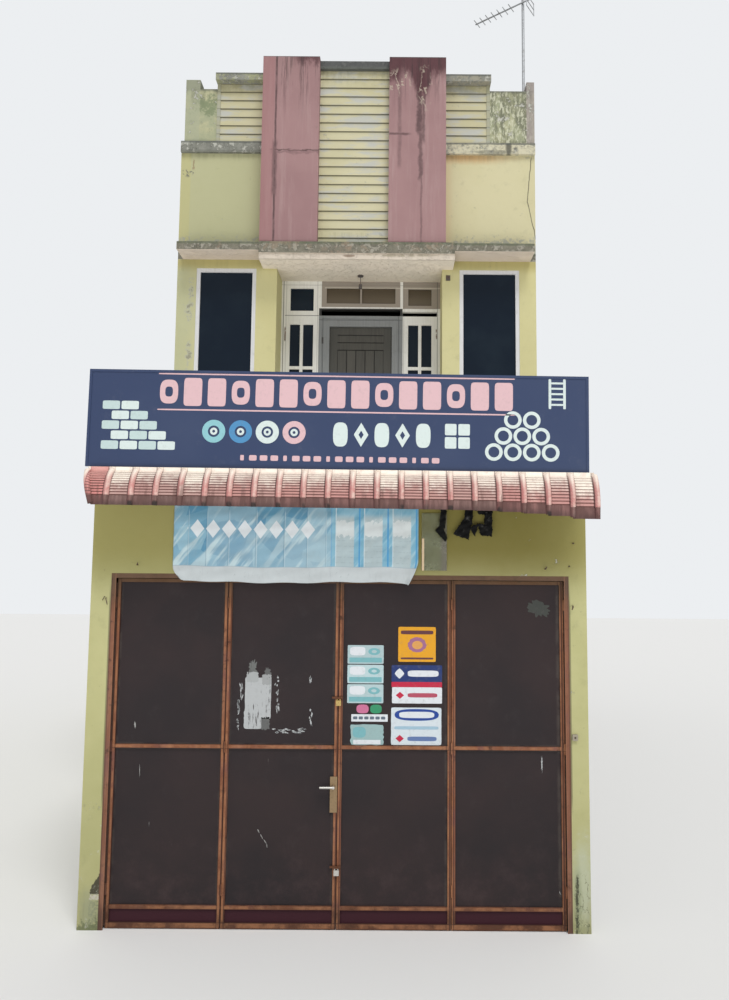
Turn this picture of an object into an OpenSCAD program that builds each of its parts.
// Two-storey corner shop house: a one-storey shop front with a four-leaf steel door under a tiled
// awning, and an upper storey set back behind it with a porch, a balcony and a stepped parapet.
// Millimetres, +Z up, +Y to the rear. The origin is the centre of the wall plan at ground level.

/* [Plan] */
// Width of the house over its side walls
house_w = 4200; // [4100:10:4500]
// Depth of the house from the shop front to the rear wall
house_d = 10600; // [9500:50:12500]
// Depth of the one-storey shop front before the upper facade
front_room_d = 2060; // [1900:10:2400]
// Thickness of the outer walls
wall_t = 150; // [120:5:180]
// Thickness of the ground floor slab
ground_slab_t = 40; // [30:5:60]

/* [Storeys] */
// Clear height of the doorway in the shop front
doorway_h = 2900; // [2700:10:3000]
// Height of the shop front's walls under its roof slab
front_wall_h = 3620; // [3580:10:3700]
// Thickness of the shop front's roof slab
front_roof_t = 120; // [100:5:150]
// Thickness of the upper floor slab
floor_t = 150; // [120:5:200]
// Height from the upper floor to the soffit of the side cornices
upper_clear_h = 2645; // [2600:5:2750]
// Height of the plain band over the cornice
band_h = 1208; // [1100:1:1300]
// Height of the roof slab's top under the top of that band
roof_drop = 550; // [450:10:650]
// Thickness of the roof slab
roof_t = 150; // [120:5:180]

/* [Shop door] */
// Width of the steel door frame over its outer faces
door_frame_w = 3880; // [3800:10:3900]
// Shift of the door frame from the centre of the house
door_shift = 10; // [0:5:30]
// Face width of the door frame's steel angle
door_angle_w = 40; // [30:1:50]
// Thickness of the door frame's steel angle
door_angle_t = 6; // [4:1:8]
// Depth of the door frame into the wall
door_frame_d = 90; // [70:5:120]
// Distance of the door leaves behind the wall face
leaf_inset = 30; // [20:1:45]
// Width and depth of the leaves' stiles and rails
stile = 30; // [26:1:38]
// Height of the rail across each leaf, above ground
mid_rail_z = 1462; // [1300:1:1600]
// Height of the bottom rail
bottom_rail_h = 45; // [40:1:80]
// Height of the kick plate over the bottom rail
kick_h = 107; // [80:1:130]
// Gap between neighbouring leaves and round them
leaf_gap = 5; // [4:1:8]
// Thickness of the leaves' steel sheet
leaf_sheet_t = 4; // [2:0.5:6]
// Height of the upper padlock's shackle above ground
upper_lock_z = 1850; // [1750:5:1900]
// Height of the lower padlock's shackle above ground
lower_lock_z = 480; // [400:5:560]
// Width and height of the padlocks' bodies
padlock_w = 43; // [38:1:50]

/* [Awning] */
// Length of the awning over its outer tiles
awning_w = 4110; // [3900:10:4160]
// Shift of the awning from the centre of the house
awning_shift = 33; // [20:1:50]
// Tilt of the awning, lower at the right, in degrees
awning_tilt = 0.3; // [0:0.1:0.5]
// Drop of the tiles' top edge under the roof slab's top
awning_drop = 21; // [20:1:30]
// Number of tile columns
tile_count = 21; // [16:1:24]
// Radius of the tiles' curve
awning_r = 276; // [250:2:320]
// Slope of the tiles at their top edge, in degrees
awning_a0 = 42; // [36:1:48]
// Slope of the tiles at their lower edge, in degrees
awning_a1 = 90; // [84:1:92]
// Distance of the tiles' top edge from the wall face
awning_top_y = 350; // [330:5:380]
// Height of the plain lip under the tiles' curve
lip_h = 79; // [60:1:95]
// Thickness of the tiles
tile_t = 16; // [12:1:20]
// Height of each cross ridge on the tiles
ridge_h = 7; // [4:1:10]
// Number of cross ridges
ridge_count = 10; // [6:1:12]
// Radius of the rolls over the tile joints
roll_r = 24; // [20:1:28]
// Turn of the leftmost tile column about its top edge, in degrees
first_turn = -2; // [-8:1:0]
// Turn of the rightmost tile column about its top edge, in degrees
last_turn = 3; // [0:1:8]
// Droop of the rightmost tile column, as a part of its height
last_droop = 0.2; // [0:0.02:0.3]
// Lean of the leftmost roll, whose foot has swung in, in degrees
end_lean = 16; // [0:1:20]
// Height of the fillet behind the tiles' top edge
fillet_h = 36; // [20:1:40]

/* [Sign] */
// Length of the sign board
sign_w = 4120; // [3900:10:4160]
// Height of the sign board
sign_h = 810; // [700:10:860]
// Thickness of the sign board with its edge frame
sign_t = 30; // [20:1:40]
// Distance of the board's back from the wall face
sign_out = 285; // [270:5:330]
// Tilt of the board, lower at the right, in degrees
sign_tilt = 0.5; // [0:0.1:0.6]
// Size of the square tube in the sign brackets
sign_tube = 30; // [25:1:40]

/* [Upper facade] */
// Width of the front windows over their frames
window_w = 700; // [600:10:720]
// Height of the front windows over their frames
window_h = 2480; // [2300:10:2520]
// Distance of the front windows' centres from the centre of the openings
window_x = 1540; // [1500:5:1560]
// Face width of the window frames
window_bar = 45; // [35:1:55]
// Depth of the window frames
window_d = 60; // [45:1:80]
// Thickness of all panes
pane_t = 6; // [4:1:8]
// Shift of the upper openings from the centre of the house
opening_shift = 15; // [0:5:30]
// Width of the porch recess
porch_w = 1935; // [1900:5:1980]
// Shift of the porch from the centre of the openings
porch_shift = 20; // [0:5:30]
// Depth of the porch recess
porch_d = 380; // [350:5:450]
// Drop of the porch soffit under the side cornices' soffit
porch_drop = 105; // [80:5:120]

/* [Porch screen] */
// Width of the side lights beside the balcony door
side_light_w = 420; // [400:5:440]
// Width of the balcony door's bay
door_bay_w = 1020; // [960:5:1040]
// Height of the sill wall under the side lights
dwarf_h = 710; // [600:10:800]
// Height of the balcony door's frame
balcony_door_h = 2110; // [2050:5:2150]
// Face width of the balcony door's frame
balcony_jamb = 130; // [110:5:140]
// Open gap between the balcony door and its transom
transom_gap = 76; // [60:1:85]
// Open gap under the right side light's upper sash
side_gap = 56; // [40:1:70]
// Depth of the screen's frames
screen_d = 70; // [60:5:90]
// Face width of the screen's sashes
sash = 68; // [50:1:75]

/* [Balcony] */
// Width of the balcony over its parapet
balcony_w = 2170; // [2100:10:2200]
// Projection of the balcony from the upper facade
balcony_d = 550; // [450:10:600]
// Height of the balcony parapet over the upper floor
balcony_h = 710; // [650:10:800]
// Thickness of the balcony parapet
balcony_t = 100; // [80:5:120]
// Number of recessed panels in the front of the parapet
balcony_panels = 5; // [3:1:6]

/* [Cornices] */
// Thickness of the side cornices
cornice_t = 95; // [80:1:110]
// Projection of the side cornices
cornice_out = 280; // [260:5:320]
// Inset of the cornices' ends from the side walls' outer faces
end_inset = 65; // [40:5:90]
// Projection of the porch slab in the middle
porch_out = 295; // [285:5:340]
// Width of the porch slab
porch_slab_w = 2225; // [2180:5:2280]
// Height of the set-back foot of the porch slab's edge
porch_lip_z = 68; // [40:1:90]
// Setback of that foot
porch_lip = 12; // [6:1:20]

/* [Parapet] */
// Height of the copings under the parapet panels
mid_coping_h = 135; // [110:5:160]
// Projection of those copings
mid_coping_out = 35; // [25:5:60]
// Height of the low parapet over the mid coping
low_parapet_h = 672; // [600:1:700]
// Height of the corner posts over the mid coping
corner_post_h = 787; // [720:1:820]
// Width of the left corner post
corner_post_w = 170; // [150:5:190]
// Width of the right corner post
right_post_w = 92; // [70:1:120]
// Height of the side panels over the mid coping
side_panel_h = 737; // [720:1:780]
// Width of the left side panel
left_panel_w = 586; // [560:1:610]
// Width of the right side panel
right_panel_w = 539; // [510:1:560]
// Width of the upright trim at the side panels' outer ends
panel_trim = 40; // [30:1:50]
// Height of the copings over the side panels
panel_coping_h = 87; // [70:1:110]
// Projection of those copings
panel_coping_out = 85; // [60:5:110]
// Height of the middle panel over the band's foot
centre_panel_h = 2150; // [2080:5:2200]
// Height of the middle panel's coping
centre_coping_h = 94; // [70:1:110]
// Height of the lapped boards' courses
board_pitch = 105; // [90:1:120]
// Depth of the groove under each board
board_lap = 9; // [6:1:20]
// Width of the piers
pier_w = 660; // [620:5:680]
// Projection of the piers
pier_out = 250; // [220:5:280]
// Height of the piers over the band's foot
pier_h = 2258; // [2200:1:2320]
// Distance between the piers' centre lines
pier_span = 1472; // [1440:1:1500]
// Shift of the piers from the centre of the house
crown_shift = -38; // [-50:1:0]

/* [Rear and side] */
// Width of the windows in the rear and the free side wall
back_window_w = 900; // [700:10:1000]
// Height of those windows
back_window_h = 1300; // [1100:10:1400]
// Height of their sill over the floor
back_sill_h = 1050; // [900:10:1100]
// Width of the rear door's opening
rear_door_w = 900; // [800:10:1000]
// Height of the rear door's opening
rear_door_h = 2150; // [2000:10:2250]
// Height of the roof copings
roof_coping_h = 80; // [60:5:100]
// Overhang of the roof copings
roof_coping_out = 40; // [30:5:60]

/* [Small pieces] */
// Width of the banner
banner_w = 2100; // [1800:10:2300]
// Height of the banner
banner_h = 670; // [600:10:700]
// Height of the aerial's mast over the side wall
mast_h = 2080; // [2000:10:2600]
// Radius of the aerial's mast
mast_r = 17; // [14:1:20]
// Length of the aerial's boom
boom_l = 780; // [700:10:900]
// Turn of the boom from the house's width, in degrees
boom_turn = 145; // [130:1:160]

/* [Hidden] */
half_w = house_w / 2;
front_y = -house_d / 2;
rear_y = house_d / 2;
facade_y = front_y + front_room_d;
inner_x = half_w - wall_t;

front_roof_z = front_wall_h + front_roof_t;
floor_z = front_roof_z + floor_t;
soffit_z = floor_z + upper_clear_h;
porch_z = soffit_z - porch_drop;
band_z = soffit_z + cornice_t;
band_top = band_z + band_h;
roof_top = band_top - roof_drop;
parapet_z = band_top + mid_coping_h;

door_x0 = door_shift - door_frame_w / 2;
door_x1 = door_shift + door_frame_w / 2;
doorway_clear_w = door_frame_w - 2 * door_angle_w;
leaf_count = 4;
leaf_w = (doorway_clear_w - (leaf_count + 1) * leaf_gap) / leaf_count;
leaf_foot_gap = 5;
leaf_z0 = leaf_foot_gap;
leaf_z1 = doorway_h - door_angle_w - leaf_gap;
leaf_y = front_y + leaf_inset;

screen_x = opening_shift + porch_shift;
porch_x0 = screen_x - porch_w / 2;
porch_x1 = screen_x + porch_w / 2;
screen_y = facade_y + porch_d;
screen_x0 = screen_x - door_bay_w / 2 - side_light_w;
screen_x1 = screen_x + door_bay_w / 2 + side_light_w;
door_bay_x0 = screen_x - door_bay_w / 2;
door_bay_x1 = screen_x + door_bay_w / 2;
screen_head = 20;
screen_rail_z = floor_z + balcony_door_h;
window_z = porch_z - window_h;
side_sill_z = floor_z + dwarf_h;

pier_x = [crown_shift - pier_span / 2, crown_shift + pier_span / 2];
panel_set_in = 100;
panel_y = facade_y - pier_out + panel_set_in;
crown_in = wall_t;

back_sill_z = floor_z + back_sill_h;
seat_gap = 0.3;

wall_yellow = [0.80, 0.80, 0.55];
plaster_grey = [0.62, 0.62, 0.58];
pier_pink = [0.68, 0.53, 0.53];
frame_white = [0.85, 0.85, 0.82];
steel_brown = [0.52, 0.31, 0.21];
sheet_dark = [0.22, 0.20, 0.20];
pane_navy = [0.10, 0.14, 0.18];
tile_red = [0.80, 0.52, 0.47];

// A block from one corner to the opposite one
module box(lo, hi) {
    translate(lo) cube(hi - lo);
}

// A plate in the XZ plane with rectangular openings, from y0 to y1. Each opening is [x0, z0, x1, z1].
module front_plate(x0, z0, x1, z1, y0, y1, openings = []) {
    translate([0, y1, 0]) rotate([90, 0, 0]) linear_extrude(y1 - y0) difference() {
        translate([x0, z0]) square([x1 - x0, z1 - z0]);
        for (o = openings) translate([o[0], o[1]]) square([o[2] - o[0], o[3] - o[1]]);
    }
}

// A rectangular frame of one bar width with optional inner bars, facing the front
module bar_frame(x0, z0, x1, z1, bar, y0, y1, mullions = [], rails = [], inner = 0) {
    front_plate(x0, z0, x1, z1, y0, y1, [[x0 + bar, z0 + bar, x1 - bar, z1 - bar]]);
    for (x = mullions) box([x - inner / 2, y0, z0 + bar], [x + inner / 2, y1, z1 - bar]);
    for (z = rails) box([x0 + bar, y0, z - inner / 2], [x1 - bar, y1, z + inner / 2]);
}

// Ground storey

module ground_slab() {
    color(plaster_grey) {
        box([-inner_x, front_y + wall_t, 0], [inner_x, rear_y - wall_t, ground_slab_t]);
        // The doorway's threshold lies behind the leaves, between the frame's sides
        box([door_x0 + door_angle_t, leaf_y + stile + leaf_gap, 0],
            [door_x1 - door_angle_t, front_y + wall_t, ground_slab_t]);
    }
}

module shop_front_piers() {
    color(wall_yellow) {
        box([-half_w, front_y, 0], [door_x0, front_y + wall_t, doorway_h]);
        box([door_x1, front_y, 0], [half_w, front_y + wall_t, doorway_h]);
    }
}

module shop_front_lintel() {
    color(wall_yellow) box([-half_w, front_y, doorway_h], [half_w, front_y + wall_t, front_wall_h]);
}

// Side profile of a ground storey wall, stepped where the shop front's roof slab rests on it
module lower_side_wall(x0) {
    translate([x0, 0, 0]) rotate([90, 0, 90]) linear_extrude(wall_t) polygon([
        [front_y + wall_t, 0], [rear_y, 0], [rear_y, front_roof_z],
        [facade_y, front_roof_z], [facade_y, front_wall_h], [front_y + wall_t, front_wall_h]]);
}

module left_wall_lower() {
    color(wall_yellow) lower_side_wall(-half_w);
}

module right_wall_lower() {
    color(plaster_grey) lower_side_wall(inner_x);
}

rear_door_x0 = -inner_x + 500;
rear_door_x1 = rear_door_x0 + rear_door_w;
rear_low_window_x0 = inner_x - 500 - back_window_w;
rear_low_window_x1 = rear_low_window_x0 + back_window_w;

module rear_wall_lower() {
    color(wall_yellow) front_plate(-inner_x, 0, inner_x, front_roof_z, rear_y - wall_t, rear_y,
        [[rear_door_x0, ground_slab_t, rear_door_x1, ground_slab_t + rear_door_h],
         [rear_low_window_x0, back_sill_h, rear_low_window_x1, back_sill_h + back_window_h]]);
}

module front_roof_slab() {
    color(plaster_grey) box([-half_w, front_y, front_wall_h], [half_w, facade_y, front_roof_z]);
}

// Upper storey walls

module upper_floor_slab() {
    color(plaster_grey) box([-half_w, facade_y, front_roof_z], [half_w, rear_y, floor_z]);
}

// One half of the upper facade, with its window opening
module facade_half(x0, x1, centre) {
    front_plate(x0, floor_z, x1, soffit_z, facade_y, facade_y + wall_t,
        [[centre - window_w / 2, window_z, centre + window_w / 2, window_z + window_h]]);
}

window_left = opening_shift - window_x;
window_right = opening_shift + window_x;

module facade_walls() {
    color(wall_yellow) {
        facade_half(-half_w, porch_x0, window_left);
        facade_half(porch_x1, half_w, window_right);
    }
}

side_wall_y0 = facade_y + wall_t;
side_wall_y1 = rear_y - wall_t;
side_wall_d = side_wall_y1 - side_wall_y0;
flank_window_y = [side_wall_y0 + side_wall_d / 3, side_wall_y0 + side_wall_d * 2 / 3];

module left_wall_upper() {
    color(wall_yellow) difference() {
        box([-half_w, side_wall_y0, floor_z], [-inner_x, rear_y, band_top]);
        for (y = flank_window_y) box([-half_w - 1, y - back_window_w / 2, back_sill_z],
            [1 - inner_x, y + back_window_w / 2, back_sill_z + back_window_h]);
    }
}

module right_wall_upper() {
    color(plaster_grey) box([inner_x, side_wall_y0, floor_z], [half_w, rear_y, band_top]);
}

rear_window_x = [-inner_x / 2, inner_x / 2];

module rear_wall_upper() {
    color(wall_yellow) front_plate(-inner_x, floor_z, inner_x, band_top, rear_y - wall_t, rear_y,
        [for (x = rear_window_x) [x - back_window_w / 2, back_sill_z,
            x + back_window_w / 2, back_sill_z + back_window_h]]);
}

// Porch

module porch_walls() {
    color(wall_yellow) {
        box([porch_x0 - wall_t, facade_y + wall_t, floor_z], [porch_x0, screen_y + wall_t, porch_z]);
        box([porch_x1, facade_y + wall_t, floor_z], [porch_x1 + wall_t, screen_y + wall_t, porch_z]);
        box([porch_x0, screen_y, floor_z], [door_bay_x0, screen_y + wall_t, side_sill_z]);
        box([door_bay_x1, screen_y, floor_z], [porch_x1, screen_y + wall_t, side_sill_z]);
    }
}

transom_z = screen_rail_z + transom_gap;
transom_top = porch_z - screen_head;
transom_sill = 33;
transom_bar = 60;
transom_rail = 48;
transom_mullion = 22;
transom_foot = transom_z + transom_sill;
screen_post = 30;
sash_inset = 5;
sash_bar = 38;
left_foot_rail = 61;
right_foot_rail = 78;
casement_head = 110;
cross_bar_z = side_sill_z + 752;

// Clear openings of the two panes over the balcony door
transom_openings = [
    [door_bay_x0 + screen_post + transom_bar, transom_foot + transom_rail,
     screen_x - transom_mullion / 2, transom_top - transom_bar],
    [screen_x + transom_mullion / 2, transom_foot + transom_rail,
     door_bay_x1 - screen_post - transom_bar, transom_top - transom_bar]];

module porch_screen_frame() {
    y1 = screen_y + screen_d;
    post = screen_post;
    color(frame_white) {
        box([porch_x0, screen_y, transom_top], [porch_x1, y1, porch_z]);
        box([porch_x0, screen_y, side_sill_z], [screen_x0, y1, transom_top]);
        box([screen_x1, screen_y, side_sill_z], [porch_x1, y1, transom_top]);
        for (x = [door_bay_x0, door_bay_x1 - post])
            box([x, screen_y, screen_rail_z], [x + post, y1, transom_top]);
        box([door_bay_x0 + post, screen_y, transom_z], [door_bay_x1 - post, y1, transom_foot]);
        front_plate(door_bay_x0 + post, transom_foot, door_bay_x1 - post, transom_top,
            screen_y + sash_inset, y1, transom_openings);
    }
}

// Left edge of each side light, foot of its upper sash and height of that sash's foot rail
side_light_list = [[screen_x0, screen_rail_z, left_foot_rail],
    [door_bay_x1, screen_rail_z + side_gap, right_foot_rail]];

// Clear opening of a side light's upper sash
function upper_opening(light) = [light[0] + sash, light[1] + light[2],
    light[0] + side_light_w - sash, transom_top - sash];

// The four clear openings of the casement whose left edge is at x0
function casement_openings(x0) = [
    for (z = [[side_sill_z + sash, cross_bar_z - sash_bar / 2],
              [cross_bar_z + sash_bar / 2, screen_rail_z - casement_head]])
        for (x = [[x0 + sash, x0 + side_light_w / 2 - sash_bar / 2],
                  [x0 + side_light_w / 2 + sash_bar / 2, x0 + side_light_w - sash]])
            [x[0], z[0], x[1], z[1]]];

// The side lights: a small upper sash over a casement with two narrow panes and a cross bar
module side_lights() {
    y0 = screen_y + sash_inset;
    y1 = screen_y + screen_d - 2 * sash_inset;
    color(frame_white) for (light = side_light_list) {
        x0 = light[0];
        x1 = x0 + side_light_w;
        front_plate(x0, light[1], x1, transom_top, y0, y1, [upper_opening(light)]);
        front_plate(x0, side_sill_z, x1, screen_rail_z, y0, y1, casement_openings(x0));
    }
}

door_moulding = 35;
door_moulding_t = 10;

// The frame round the balcony door, with a raised moulding along its outer edge
module balcony_door_frame() {
    y0 = screen_y + door_moulding_t;
    color(plaster_grey) {
        front_plate(door_bay_x0, floor_z, door_bay_x1, screen_rail_z, y0, y0 + screen_d,
            [[door_bay_x0 + balcony_jamb, floor_z - 1, door_bay_x1 - balcony_jamb,
              screen_rail_z - balcony_jamb]]);
        front_plate(door_bay_x0, floor_z, door_bay_x1, screen_rail_z, screen_y, y0,
            [[door_bay_x0 + door_moulding, floor_z - 1, door_bay_x1 - door_moulding,
              screen_rail_z - door_moulding]]);
    }
}

// A boarded door leaf: a frame, three cross boards at the top and upright boards below
module balcony_door() {
    x0 = door_bay_x0 + balcony_jamb + seat_gap;
    x1 = door_bay_x1 - balcony_jamb - 3;
    z0 = floor_z + 8;
    z1 = screen_rail_z - balcony_jamb - 3;
    y0 = screen_y + 40;
    rail = 100;
    board = 85;
    board_gap = 8;
    boards_z = z1 - rail - 2 * (board + board_gap);
    across = x1 - x0 - 2 * rail;
    upright_count = 5;
    upright_w = (across - (upright_count - 1) * board_gap) / upright_count;
    color(plaster_grey * 0.6) {
        box([x0, y0 + 12, z0], [x1, y0 + 30, z1]);
        bar_frame(x0, z0, x1, z1, rail, y0, y0 + 12);
        for (i = [0:1]) box([x0 + rail, y0 + 4, boards_z + board_gap + i * (board + board_gap)],
            [x1 - rail, y0 + 12, boards_z + (i + 1) * (board + board_gap)]);
        for (i = [0:upright_count - 1]) {
            x = x0 + rail + i * (upright_w + board_gap);
            box([x, y0 + 4, z0 + rail], [x + upright_w, y0 + 12, boards_z]);
        }
    }
}

// Windows

module front_window_frames() {
    color(frame_white) for (x = [window_left, window_right])
        bar_frame(x - window_w / 2, window_z, x + window_w / 2, window_z + window_h, window_bar,
            facade_y + window_inset, facade_y + window_inset + window_d);
}

window_inset = 5;
pane_seat = 20;

// One pane that fills the clear opening from (x0, z0) to (x1, z1), its face at y
module pane(x0, z0, x1, z1, y) {
    box([x0, y, z0], [x1, y + pane_t, z1]);
}

module front_panes() {
    for (x = [window_left, window_right])
        pane(x - window_w / 2 + window_bar, window_z + window_bar, x + window_w / 2 - window_bar,
            window_z + window_h - window_bar, facade_y + window_inset + pane_seat);
}

// Panes of the porch screen: side light sashes, casements and the two panes over the door
module screen_panes() {
    y = screen_y + sash_inset + pane_seat;
    openings = concat(transom_openings, [for (light = side_light_list) upper_opening(light)],
        [for (light = side_light_list) each casement_openings(light[0])]);
    for (o = openings) pane(o[0], o[1], o[2], o[3], y);
}

// A back window: a frame with one upright in the middle
module back_frame(x, z) {
    bar_frame(x - back_window_w / 2, z, x + back_window_w / 2, z + back_window_h, window_bar,
        0, window_d, [x], [], window_bar);
}

module back_glass(x, z) {
    for (side = [0, 1]) {
        x0 = side == 0 ? x - back_window_w / 2 + window_bar : x + window_bar / 2;
        box([x0, pane_seat, z + window_bar],
            [x0 + back_window_w / 2 - window_bar * 3 / 2, pane_seat + pane_t,
             z + back_window_h - window_bar]);
    }
}

// Places its children, drawn facing -Y at y = 0, on the rear wall
module on_rear() {
    translate([0, rear_y - 20, 0]) rotate([0, 0, 180]) children();
}

// Places its children, drawn facing -Y at y = 0, on the free side wall
module on_flank(y) {
    translate([-half_w + 20, y, 0]) rotate([0, 0, -90]) children();
}

rear_low_window_x = (rear_low_window_x0 + rear_low_window_x1) / 2;

module back_window_frames() {
    color(frame_white) {
        on_rear() for (x = rear_window_x) back_frame(x, back_sill_z);
        on_rear() back_frame(-rear_low_window_x, back_sill_h);
        for (y = flank_window_y) on_flank(y) back_frame(0, back_sill_z);
    }
}

module window_panes() {
    color(pane_navy) {
        front_panes();
        screen_panes();
        on_rear() for (x = rear_window_x) back_glass(x, back_sill_z);
        on_rear() back_glass(-rear_low_window_x, back_sill_h);
        for (y = flank_window_y) on_flank(y) back_glass(0, back_sill_z);
    }
}

// The rear door: a steel frame round a plain leaf with two pressed fields
module rear_door() {
    jamb = 45;
    x0 = -rear_door_x1;
    x1 = -rear_door_x0;
    z1 = ground_slab_t + rear_door_h;
    color(steel_brown) on_rear() {
        front_plate(x0, ground_slab_t, x1, z1, 0, 80,
            [[x0 + jamb, ground_slab_t - 1, x1 - jamb, z1 - jamb]]);
        difference() {
            box([x0 + jamb, 20, ground_slab_t], [x1 - jamb, 60, z1 - jamb]);
            for (z = [250, 1250]) box([x0 + 150, 19, z], [x1 - 150, 26, z + 700]);
        }
    }
}

// Balcony

balcony_x0 = opening_shift - balcony_w / 2;
balcony_x1 = opening_shift + balcony_w / 2;
balcony_y = facade_y - balcony_d;
balcony_coping_h = 80;
balcony_coping_out = 40;

module balcony_slab() {
    color(plaster_grey)
        box([balcony_x0, balcony_y, front_roof_z], [balcony_x1, facade_y, floor_z]);
}

// The parapet: a front with recessed panels, two returns and an overhanging coping
module balcony_parapet() {
    z0 = floor_z;
    z1 = floor_z + balcony_h - balcony_coping_h;
    panel_w = 280;
    panel_h = 440;
    pitch = balcony_w / balcony_panels;
    panel_z = z0 + (z1 - z0 - panel_h) / 2;
    color(frame_white) {
        difference() {
            box([balcony_x0, balcony_y, z0], [balcony_x1, balcony_y + balcony_t, z1]);
            for (i = [0:balcony_panels - 1]) {
                x = balcony_x0 + (i + 0.5) * pitch - panel_w / 2;
                box([x, balcony_y - 1, panel_z], [x + panel_w, balcony_y + 20, panel_z + panel_h]);
            }
        }
        for (x = [balcony_x0, balcony_x1 - balcony_t])
            box([x, balcony_y + balcony_t, z0], [x + balcony_t, facade_y, z1]);
        difference() {
            box([balcony_x0 - balcony_coping_out, balcony_y - balcony_coping_out, z1],
                [balcony_x1 + balcony_coping_out, facade_y, z1 + balcony_coping_h]);
            box([balcony_x0 + balcony_t, balcony_y + balcony_t, z1 - 1],
                [balcony_x1 - balcony_t, facade_y + 1, z1 + balcony_coping_h + 1]);
        }
    }
}

// Cornices and band

porch_slab_x0 = opening_shift - porch_slab_w / 2;
porch_slab_x1 = opening_shift + porch_slab_w / 2;

// The side cornices in front of the wall, and their bed through the wall over its full width
module side_cornices() {
    box([end_inset - half_w, facade_y - cornice_out, soffit_z], [porch_slab_x0, facade_y, band_z]);
    box([porch_slab_x1, facade_y - cornice_out, soffit_z], [half_w - end_inset, facade_y, band_z]);
    box([-half_w, facade_y, soffit_z], [half_w, facade_y + wall_t, band_z]);
}

// The porch slab: a soffit, an edge with a set-back foot, and the roof over the recess
module porch_slab() {
    edge_h = band_z - porch_z;
    translate([porch_slab_x0, facade_y, porch_z]) rotate([90, 0, 90])
        linear_extrude(porch_slab_w) polygon([[porch_lip - porch_out, 0], [0, 0], [0, edge_h],
            [-porch_out, edge_h], [-porch_out, porch_lip_z], [porch_lip - porch_out, porch_lip_z]]);
    box([porch_x0, facade_y, porch_z], [porch_x1, facade_y + wall_t, soffit_z]);
    box([porch_x0 - wall_t, facade_y + wall_t, porch_z],
        [porch_x1 + wall_t, screen_y + wall_t, band_z]);
}

module cornice() {
    color(plaster_grey) {
        side_cornices();
        porch_slab();
    }
}

module band_wall() {
    color(wall_yellow) {
        box([-half_w, facade_y, band_z], [half_w, facade_y + wall_t, band_top]);
    }
}

// Parapet

mid_left = [-half_w, pier_x[0] - pier_w / 2];
mid_right = [pier_x[1] + pier_w / 2, half_w];

module mid_copings() {
    for (span = [mid_left, mid_right])
        box([span[0], facade_y - mid_coping_out, band_top], [span[1], facade_y + crown_in, parapet_z]);
}

post_inset = 30;
side_panel_x = [pier_x[0] - pier_w / 2 - left_panel_w, pier_x[1] + pier_w / 2 + right_panel_w];

// A corner post and the low parapet between it and the side panel
module corner_parapets() {
    post_left = -half_w + post_inset;
    post_right = half_w - right_post_w;
    color(wall_yellow) {
        box([post_left, facade_y, parapet_z],
            [post_left + corner_post_w, facade_y + crown_in, parapet_z + corner_post_h]);
        box([post_left + corner_post_w, facade_y, parapet_z],
            [side_panel_x[0], facade_y + crown_in, parapet_z + low_parapet_h]);
        box([post_right, facade_y, parapet_z],
            [half_w, facade_y + crown_in, parapet_z + corner_post_h]);
        box([side_panel_x[1], facade_y, parapet_z],
            [post_right, facade_y + crown_in, parapet_z + low_parapet_h]);
    }
}

// A wall panel with lapped boards: each course leans out and ends in a groove over the next
module lapped_panel(x0, x1, y, z0, z1, back) {
    courses = max(1, round((z1 - z0) / board_pitch));
    pitch = (z1 - z0) / courses;
    outline = [for (i = [0:courses - 1]) each [
        [y - board_lap, z0 + i * pitch], [y, z0 + (i + 1) * pitch]]];
    translate([x0, 0, 0]) rotate([90, 0, 90]) linear_extrude(x1 - x0)
        polygon(concat([[back, z0]], outline, [[back, z1]]));
}

// An upright trim from x0 that stands proud of the boards' edges
module side_trim(x0) {
    trim_proud = 4;
    box([x0, facade_y - board_lap - trim_proud, parapet_z],
        [x0 + panel_trim, facade_y + crown_in, parapet_z + side_panel_h]);
}

module parapet_panels() {
    color(wall_yellow) {
        side_trim(side_panel_x[0]);
        lapped_panel(side_panel_x[0] + panel_trim, pier_x[0] - pier_w / 2, facade_y, parapet_z,
            parapet_z + side_panel_h, facade_y + crown_in);
        side_trim(side_panel_x[1] - panel_trim);
        lapped_panel(pier_x[1] + pier_w / 2, side_panel_x[1] - panel_trim, facade_y, parapet_z,
            parapet_z + side_panel_h, facade_y + crown_in);
        lapped_panel(centre_x[0], centre_x[1], panel_y, band_z, band_z + centre_panel_h, facade_y);
    }
}

centre_x = [pier_x[0] + pier_w / 2, pier_x[1] - pier_w / 2];
centre_coping_out = 40;
side_coping_lip = 8;

module parapet_copings() {
    side_z = parapet_z + side_panel_h;
    centre_z = band_z + centre_panel_h;
    color(plaster_grey) {
        mid_copings();
        box([side_panel_x[0] - side_coping_lip, facade_y - panel_coping_out, side_z],
            [pier_x[0] - pier_w / 2, facade_y + crown_in, side_z + panel_coping_h]);
        box([pier_x[1] + pier_w / 2, facade_y - panel_coping_out, side_z],
            [side_panel_x[1] + side_coping_lip, facade_y + crown_in, side_z + panel_coping_h]);
        box([centre_x[0], panel_y - centre_coping_out, centre_z],
            [centre_x[1], facade_y + crown_in, centre_z + centre_coping_h]);
        box([centre_x[0], facade_y, band_top], [centre_x[1], facade_y + crown_in, centre_z]);
    }
}

module pink_piers() {
    color(pier_pink) for (x = pier_x) {
        box([x - pier_w / 2, facade_y - pier_out, band_z],
            [x + pier_w / 2, facade_y, band_z + pier_h]);
        box([x - pier_w / 2, facade_y, band_top],
            [x + pier_w / 2, facade_y + crown_in, band_z + pier_h]);
    }
}

// Roof

module roof_slab() {
    color(plaster_grey) box([-inner_x, facade_y + wall_t, roof_top - roof_t],
        [inner_x, rear_y - wall_t, roof_top]);
}

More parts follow.
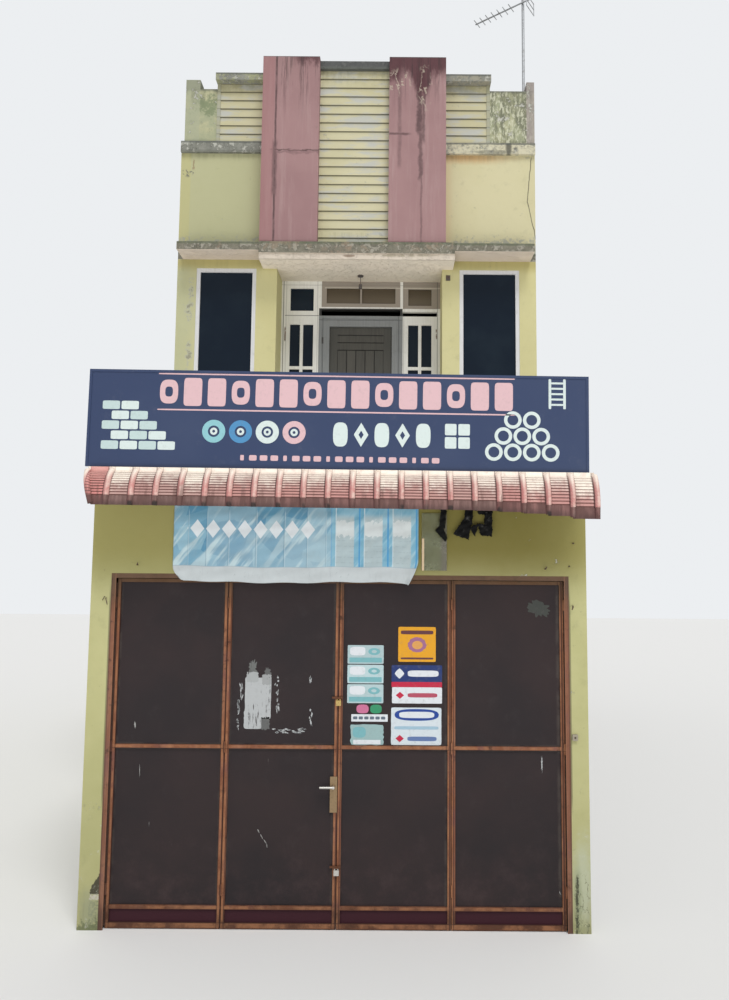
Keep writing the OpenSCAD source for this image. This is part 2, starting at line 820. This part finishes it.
// Coping over the free side wall, the rear wall and the party wall
module roof_copings() {
    y0 = facade_y + wall_t;
    color(plaster_grey) translate([0, 0, band_top]) linear_extrude(roof_coping_h) difference() {
        translate([-half_w - roof_coping_out, y0])
            square([house_w + roof_coping_out, rear_y + roof_coping_out - y0]);
        translate([-inner_x + roof_coping_out, y0 - 1])
            square([2 * (inner_x - roof_coping_out), rear_y - wall_t - roof_coping_out - y0 + 1]);
    }
}

// Shop door

knuckle_r = 9;
knuckle_h = 90;
hinge_t = 3;
hinge_flap = 25;
knuckle_y = leaf_y - knuckle_r - seat_gap;
hinge_foot = 265;
hinge_head = 200;
hinge_z = [leaf_z0 + bottom_rail_h + hinge_foot, mid_rail_z, leaf_z1 - hinge_head];

// The door frame: a steel angle round the opening, its face flush with the wall
module door_frame() {
    x0 = door_x0;
    x1 = door_x1;
    plate_y = knuckle_y - hinge_t / 2;
    knuckle_inset = door_angle_w + leaf_gap / 2 - knuckle_r - seat_gap;
    color(steel_brown) {
        front_plate(x0, 0, x1, doorway_h, front_y, front_y + door_angle_t,
            [[x0 + door_angle_w, -1, x1 - door_angle_w, doorway_h - door_angle_w]]);
        front_plate(x0, 0, x1, doorway_h, front_y + door_angle_t, front_y + door_frame_d,
            [[x0 + door_angle_t, -1, x1 - door_angle_t, doorway_h - door_angle_t]]);
        // Hinge plates from the frame to the outer leaves' knuckles
        for (z = hinge_z) {
            box([x0 + door_angle_t, plate_y, z - knuckle_h / 2],
                [x0 + knuckle_inset, plate_y + hinge_t, z + knuckle_h / 2]);
            box([x1 - knuckle_inset, plate_y, z - knuckle_h / 2],
                [x1 - door_angle_t, plate_y + hinge_t, z + knuckle_h / 2]);
        }
    }
}

// One leaf of the folding door, counted from the left
module door_leaf(i) {
    x0 = door_x0 + door_angle_w + leaf_gap + i * (leaf_w + leaf_gap);
    x1 = x0 + leaf_w;
    y1 = leaf_y + stile;
    kick_z = leaf_z0 + bottom_rail_h;
    left_hung = i < leaf_count / 2;
    hinge_x = left_hung ? x0 - leaf_gap / 2 : x1 + leaf_gap / 2;
    flap_x = left_hung ? hinge_x : hinge_x - hinge_flap;
    color(steel_brown) {
        front_plate(x0, leaf_z0, x1, leaf_z1, leaf_y, y1, [
            [x0 + stile, kick_z, x1 - stile, kick_z + kick_h],
            [x0 + stile, kick_z + kick_h + stile, x1 - stile, mid_rail_z - stile / 2],
            [x0 + stile, mid_rail_z + stile / 2, x1 - stile, leaf_z1 - stile]]);
        for (z = hinge_z) translate([0, 0, z - knuckle_h / 2]) {
            translate([hinge_x, knuckle_y, 0]) cylinder(h = knuckle_h, r = knuckle_r, $fn = 24);
            box([flap_x, leaf_y - hinge_t, 0], [flap_x + hinge_flap, leaf_y, knuckle_h]);
        }
    }
    color(sheet_dark) box([x0 + stile, leaf_y + stile / 2, kick_z], [x1 - stile,
        leaf_y + stile / 2 + leaf_sheet_t, leaf_z1 - stile]);
}

module door_leaf_1() { door_leaf(0); }
module door_leaf_2() { door_leaf(1); }
module door_leaf_3() { door_leaf(2); }
module door_leaf_4() { door_leaf(3); }

meeting_x = door_x0 + door_angle_w + leaf_gap + 2 * (leaf_w + leaf_gap) - leaf_gap / 2;

padlock_t = 18;
shackle_wire = 4;
hasp_rise = 22;
hasp_h = 16;
hasp_t = 12;
hasp_reach = [55, 35];

// A padlock whose shackle is centred at height z, with the hasp above it
module padlock(z) {
    translate([meeting_x, leaf_y - hasp_t - 2, z]) {
        translate([-padlock_w / 2, -padlock_t / 2, -padlock_w])
            cube([padlock_w, padlock_t, padlock_w]);
        rotate([90, 0, 0]) rotate_extrude(angle = 180, $fn = 32) translate([padlock_w / 3, 0])
            circle(r = shackle_wire, $fn = 16);
    }
}

module hasp(z) {
    box([meeting_x - hasp_reach[0], leaf_y - hasp_t, z + hasp_rise - hasp_h / 2],
        [meeting_x + hasp_reach[1], leaf_y, z + hasp_rise + hasp_h / 2]);
}

// Lever handle on its plate, and the two padlocks with their hasps
module door_furniture() {
    plate_w = 60;
    plate_h = 290;
    plate_z = 1080;
    plate_x = meeting_x - leaf_gap / 2 - plate_w;
    lever_z = plate_z + 65;
    lever_l = 120;
    y = leaf_y - 4;
    color([0.6, 0.5, 0.35]) {
        box([plate_x, y, plate_z - plate_h / 2], [plate_x + plate_w, leaf_y, plate_z + plate_h / 2]);
        translate([plate_x + plate_w / 2, y, lever_z]) rotate([90, 0, 0])
            cylinder(h = 45, r = 11, $fn = 24);
        translate([plate_x + plate_w / 2 + 6, y - 38, lever_z]) rotate([0, -90, 0])
            cylinder(h = lever_l, r = 9, $fn = 24);
    }
    for (z = [upper_lock_z, lower_lock_z]) {
        color([0.75, 0.6, 0.3]) padlock(z);
        color(steel_brown) hasp(z);
    }
}

// Awning

tile_pitch = awning_w / tile_count;
awning_top_z = front_roof_z - awning_drop;
awning_y0 = front_y - awning_top_y;
awning_x0 = -awning_w / 2;
awning_bar = 30;
deck_roll_r = 10;
tile_lap = 1;
lip_out = 8;
lip_step = 6;
lip_lean = 6;
inner_steps = 5;
turn_power = 1.3;
droop_from = 14;
droop_power = 2.5;
fillet_t = 10;

// Outline of a tile in the YZ plane, running down from its top edge: stepped cross ridges on the
// curve, then a plain lip. Points are given from the tile's top edge.
function on_arc(r, a) = [-(r * sin(a) - awning_r * sin(awning_a0)),
    r * cos(a) - awning_r * cos(awning_a0)];
awning_sweep = awning_a1 - awning_a0;
ridge_a = awning_sweep / ridge_count;
arc_foot = on_arc(awning_r, awning_a1);
tile_outer = concat(
    [for (i = [0:ridge_count - 1]) each [on_arc(awning_r, awning_a0 + i * ridge_a),
        on_arc(awning_r + ridge_h, awning_a0 + (i + 0.8) * ridge_a)]],
    [arc_foot, arc_foot + [-lip_out, -lip_step], arc_foot + [-lip_out - lip_lean, -lip_h]]);
tile_inner = concat(
    [arc_foot + [-lip_out - lip_lean + tile_t, -lip_h], arc_foot + [-lip_out + tile_t, -lip_step]],
    [for (i = [inner_steps:-1:0])
        on_arc(awning_r - tile_t, awning_a0 + i * awning_sweep / inner_steps)]);

// A roll over a tile joint: a round bead along the curve and down the lip
module tile_roll() {
    translate([0, awning_r * sin(awning_a0), -awning_r * cos(awning_a0)]) rotate([0, -90, 0])
        rotate([0, 0, -awning_a1]) rotate_extrude(angle = awning_sweep, $fn = 40)
            translate([awning_r + 2, 0]) circle(r = roll_r, $fn = 16);
    translate([0, arc_foot[0] - lip_out, arc_foot[1]]) mirror([0, 0, 1])
        cylinder(h = lip_h, r = roll_r * 0.9, $fn = 16);
}

// Turn of a tile column about its top edge, growing to the right end
function column_turn(i) = first_turn + (last_turn - first_turn)
    * pow(min(max(i, 0), tile_count - 1) / (tile_count - 1), turn_power);

// Height of a tile column against its plain height: the last columns have slipped and hang lower
function column_droop(i) = 1 + last_droop
    * pow(max(0, min(i, tile_count - 1) - droop_from) / (tile_count - 1 - droop_from), droop_power);

// Places its children, drawn from the middle of the tiles' top edge, on the shop front
module awning_place() {
    translate([awning_shift, awning_y0, awning_top_z]) rotate([0, awning_tilt, 0]) children();
}

// Turns its children about the middle of the tile's thickness at its top edge, and lets them droop
module droop(i) {
    translate([0, 0, -tile_t / 2]) rotate([column_turn(i), 0, 0]) translate([0, 0, tile_t / 2])
        scale([1, 1, column_droop(i)]) children();
}

// One tile column, counted from the left
module tile_column(i) {
    droop(i) rotate([90, 0, 90]) linear_extrude(tile_pitch + tile_lap / 2)
        polygon(concat(tile_outer, tile_inner));
}

// The tiles: a flat deck from the wall with a fillet at its front, then drooping columns with a
// roll over every joint. They lap each other by a little, so that the awning is one body. The
// leftmost tile is cut along its roll, whose foot has swung in.
module awning_tiles() {
    deck_l = awning_top_y - seat_gap;
    roll_in = roll_r / 2;
    cut = 2 * (lip_h + awning_r);
    color(tile_red) awning_place() {
        box([awning_x0 + tile_lap, -tile_lap, -tile_t], [-awning_x0 - tile_lap, deck_l, -tile_lap]);
        box([awning_x0 + 2 * tile_lap, tile_lap, -tile_t / 2],
            [-awning_x0 - 2 * tile_lap, fillet_t, fillet_h]);
        difference() {
            translate([awning_x0, 0, 0]) tile_column(0);
            translate([awning_x0, 0, 0]) rotate([0, -end_lean, 0])
                box([-cut, -cut, -cut], [0, cut, tile_t]);
        }
        for (i = [1:tile_count - 1]) translate([awning_x0 + i * tile_pitch, 0, 0]) tile_column(i);
        for (i = [0:tile_count]) translate([awning_x0 + i * tile_pitch, 0, 0]) {
            rotate([0, i == 0 ? -end_lean : 0, 0]) droop(i - 0.5) tile_roll();
            translate([0, -roll_in, 0]) rotate([-90, 0, 0])
                cylinder(h = deck_l + roll_in, r = deck_roll_r, $fn = 12);
        }
    }
}

arm_count = 5;
arm_end = 60;
arm_x = [for (i = [0:arm_count - 1])
    awning_x0 + arm_end + i * (awning_w - 2 * arm_end - awning_bar) / (arm_count - 1)];
bracket_z = -tile_t - seat_gap;

// Steel brackets: a purlin under the tiles' top edge, and arms that carry it from the wall
module awning_brackets() {
    y1 = tile_t + awning_bar;
    color(steel_brown) awning_place() {
        box([awning_x0 + awning_bar, tile_t, bracket_z - awning_bar],
            [-awning_x0 - awning_bar, y1, bracket_z]);
        for (x = arm_x)
            box([x, y1, bracket_z - awning_bar], [x + awning_bar, awning_top_y, bracket_z]);
    }
}

// Sign

sign_z = front_roof_z + sign_h / 2 + 15;

module sign_board() {
    edge = 22;
    color([0.18, 0.23, 0.37]) translate([0, front_y - sign_out - sign_t, sign_z])
        rotate([0, sign_tilt, 0]) {
            bar_frame(-sign_w / 2, -sign_h / 2, sign_w / 2, sign_h / 2, edge, 0, sign_t);
            box([edge - sign_w / 2, 4, edge - sign_h / 2], [sign_w / 2 - edge, 10, sign_h / 2 - edge]);
        }
}

// L brackets that lie on the roof slab and stand up behind the board, each with a stay
module sign_brackets() {
    back = 420;
    up = sign_h - 80;
    y0 = front_y - sign_out;
    z0 = front_roof_z;
    color(plaster_grey * 0.6) for (x = [-0.4, -0.13, 0.13, 0.4] * sign_w) {
        box([x, y0, z0], [x + sign_tube, front_y + back, z0 + sign_tube]);
        box([x, y0, z0 + sign_tube], [x + sign_tube, y0 + sign_tube, z0 + up]);
        translate([x, 0, 0]) rotate([90, 0, 90]) linear_extrude(sign_tube) polygon([
            [front_y + back - 40, z0 + sign_tube], [front_y + back, z0 + sign_tube],
            [y0 + sign_tube, z0 + up], [y0 + sign_tube, z0 + up - 40]]);
    }
}

// Soft pieces

banner_x0 = -1400;
banner_z1 = 3500;
banner_t = 10;

module banner() {
    y = front_y - seat_gap;
    color([0.45, 0.70, 0.82]) box([banner_x0, y - banner_t, banner_z1 - banner_h],
        [banner_x0 + banner_w, y, banner_z1]);
}

torn_x0 = 800;
torn_w = 495;
torn_t = 8;
torn_out = 30;
torn_z0 = 3155;
torn_arm = arm_x[3] + awning_bar;
torn_z1 = awning_top_z - torn_arm * sin(awning_tilt)
    + (bracket_z - awning_bar) * cos(awning_tilt) - seat_gap;

// The torn sheet hangs under the fourth arm of the awning
module torn_sheet() {
    y = front_y - torn_out;
    color([0.12, 0.12, 0.12])
        box([torn_x0, y - torn_t, torn_z0], [torn_x0 + torn_w, y, torn_z1]);
}

// Roof aerial and porch fittings

mast_x = inner_x + 60;
mast_y = facade_y + wall_t + 40 + mast_r;
mast_foot_t = 10;
mast_foot_out = 20;
boom_drop = 70;
boom_r = 9;
boom_tail = 130;
rod_r = 5;
rod_l = 150;
rod_pitch = 80;
rod_count = 7;
reflector_w = 220;
reflector_h = 150;

// A thin round bar of length l centred on the boom's axis, across it
module cross_rod(l) {
    rotate([90, 0, 0]) cylinder(h = l, r = rod_r, center = true, $fn = 12);
}

// The aerial: a mast on the wall's coping, and beside it a boom with cross rods and a reflector
module tv_aerial() {
    z0 = band_top + roof_coping_h;
    color([0.5, 0.5, 0.5]) {
        translate([mast_x, mast_y, z0]) {
            cylinder(h = mast_h, r = mast_r, $fn = 24);
            cylinder(h = mast_foot_t, r = mast_r + mast_foot_out, $fn = 24);
        }
        translate([mast_x, mast_y, z0 + mast_h - boom_drop]) rotate([0, 0, boom_turn])
            translate([-boom_tail, mast_r + boom_r + seat_gap, 0]) {
                rotate([0, 90, 0]) cylinder(h = boom_l, r = boom_r, $fn = 16);
                for (i = [0:rod_count - 1])
                    translate([boom_l - rod_pitch / 4 - i * rod_pitch, 0, 0]) cross_rod(rod_l);
                translate([rod_pitch / 4, 0, 0]) {
                    for (i = [0:2]) translate([0, 0, -i * reflector_h / 2]) cross_rod(reflector_w);
                    for (y = [-1, 1] * (reflector_w / 2 - rod_r))
                        translate([0, y, -reflector_h]) cylinder(h = reflector_h, r = rod_r, $fn = 12);
                }
            }
    }
}

// The bare lamp holder under the porch soffit and the cable bracket by the porch
module porch_fittings() {
    lamp_y = facade_y + porch_d / 2;
    bracket_x = porch_x1 + 43;
    color([0.2, 0.2, 0.2]) translate([screen_x, lamp_y, porch_z]) {
        translate([0, 0, -12]) cylinder(h = 12, r = 35, $fn = 32);
        translate([0, 0, -110]) cylinder(h = 98, r = 4, $fn = 16);
        translate([0, 0, -160]) cylinder(h = 50, r = 20, $fn = 24);
    }
    color([0.4, 0.4, 0.42]) {
        box([bracket_x, facade_y - 12, porch_z - 130], [bracket_x + 50, facade_y, porch_z - 70]);
        box([bracket_x + 20, facade_y - 70, porch_z - 106],
            [bracket_x + 32, facade_y - 12, porch_z - 94]);
    }
}

ground_slab();
shop_front_piers();
shop_front_lintel();
left_wall_lower();
right_wall_lower();
rear_wall_lower();
front_roof_slab();
upper_floor_slab();
facade_walls();
left_wall_upper();
right_wall_upper();
rear_wall_upper();
porch_walls();
porch_screen_frame();
side_lights();
balcony_door_frame();
balcony_door();
front_window_frames();
back_window_frames();
window_panes();
rear_door();
balcony_slab();
balcony_parapet();
cornice();
band_wall();
corner_parapets();
parapet_panels();
parapet_copings();
pink_piers();
roof_slab();
roof_copings();
door_frame();
door_leaf_1();
door_leaf_2();
door_leaf_3();
door_leaf_4();
door_furniture();
awning_tiles();
awning_brackets();
sign_board();
sign_brackets();
banner();
torn_sheet();
tv_aerial();
porch_fittings();
